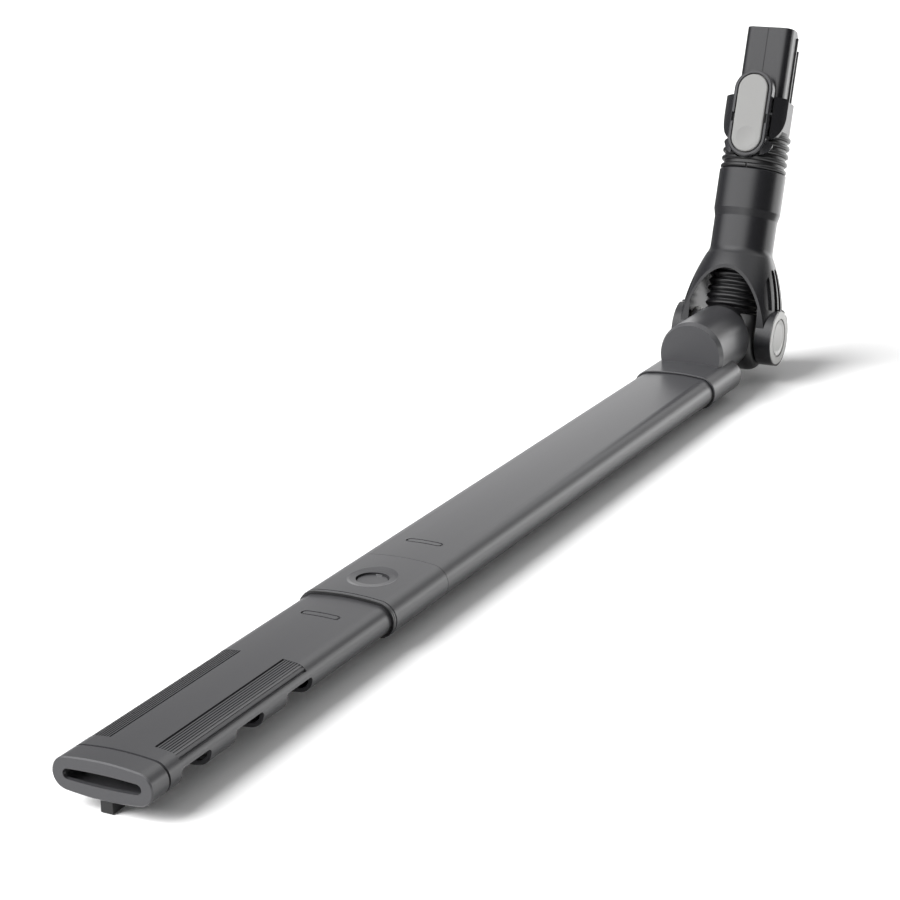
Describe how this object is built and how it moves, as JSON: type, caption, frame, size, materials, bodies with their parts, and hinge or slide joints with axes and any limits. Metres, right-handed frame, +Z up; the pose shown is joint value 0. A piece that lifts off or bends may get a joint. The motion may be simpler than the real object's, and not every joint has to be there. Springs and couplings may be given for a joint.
{
  "type": "under-appliance vacuum wand",
  "caption": "Long flat telescoping vacuum wand for low gaps, with slotted tip, push-button sleeve, tilting fork elbow with flexible hose, and latched spigot handle.",
  "frame": {"origin": "middle of the heel pad under the elbow, on the floor and on the centre plane", "axes": "+X across the wand, +Y along the wand from the mouth back towards the hinge, +Z up"},
  "size_m": [0.0626, 0.7304, 0.2035],
  "materials": {
    "tube_grey": "satin moulded plastic, mid grey",
    "handle_grey": "satin moulded plastic, dark grey",
    "connector_grey": "satin moulded plastic, grey",
    "hinge_black": "matt black plastic",
    "lever_black": "matt dark plastic",
    "pad_grey": "satin light grey plastic",
    "button_grey": "satin grey plastic",
    "cap_silver": "silver lacquered plastic",
    "slide_white": "low-friction natural plastic",
    "foot_black": "matt black plastic",
    "rib_soft": "soft moulded ribs, dark grey",
    "boot_rubber": "matt black rubber",
    "hose_black": "flexible black hose plastic",
    "seal_black": "black sealing rubber",
    "spring_steel": "bright spring steel",
    "screw_steel": "zinc plated steel"
  },
  "bodies": {
    "wand": {"outer_tube": "tube_grey", "latch_sleeve": "tube_grey", "sleeve_seal": "seal_black", "elbow_housing": "tube_grey", "hinge_barrel": "hinge_black", "barrel_seal": "seal_black", "pivot_screw_left": "screw_steel", "pivot_screw_right": "screw_steel", "hose_lower_cuff": "hose_black"},
    "nozzle": {"nozzle_tube": "tube_grey", "guide_ring": "slide_white", "end_cap": "tube_grey", "skid_foot": "foot_black", "ribbed_strip_left": "rib_soft", "ribbed_strip_right": "rib_soft", "snap_spring": "spring_steel"},
    "button": {"release_button": "button_grey"},
    "handle": {"yoke": "handle_grey", "hub_cap_left": "cap_silver", "hub_cap_right": "cap_silver", "friction_washer_left": "slide_white", "friction_washer_right": "slide_white", "tube_sleeve": "handle_grey", "flex_hose": "hose_black", "hose_upper_cuff": "hose_black", "neck_boot": "boot_rubber", "connector_body": "connector_grey", "neck_seal": "seal_black", "lever_pin": "spring_steel", "lever_spring": "spring_steel"},
    "latch": {"latch_lever": "lever_black", "latch_pad": "pad_grey"}
  },
  "joints": [
    {"name": "nozzle_slide", "type": "slide", "parent": "wand", "child": "nozzle", "axis": [0, 1, 0], "range_m": [0, 0.06]},
    {"name": "button_press", "type": "slide", "parent": "nozzle", "child": "button", "axis": [0, 0, -1], "range_m": [0, 0.0018], "stiffness_N_per_m": 1500, "springref_m": -0.0006, "deforming": ["snap_spring"]},
    {"name": "handle_tilt", "type": "hinge", "parent": "wand", "child": "handle", "pos_m": [0, 0.066, 0.0265], "axis": [1, 0, 0], "range_deg": [-70, 19], "deforming": ["flex_hose"]},
    {"name": "latch_rock", "type": "hinge", "parent": "handle", "child": "latch", "pos_m": [0, 0.09619, 0.15481], "axis": [1, 0, 0], "range_deg": [0, 2.4], "stiffness_Nm_per_rad": 1.5, "springref_deg": -1.72, "deforming": ["lever_spring"]}
  ]
}
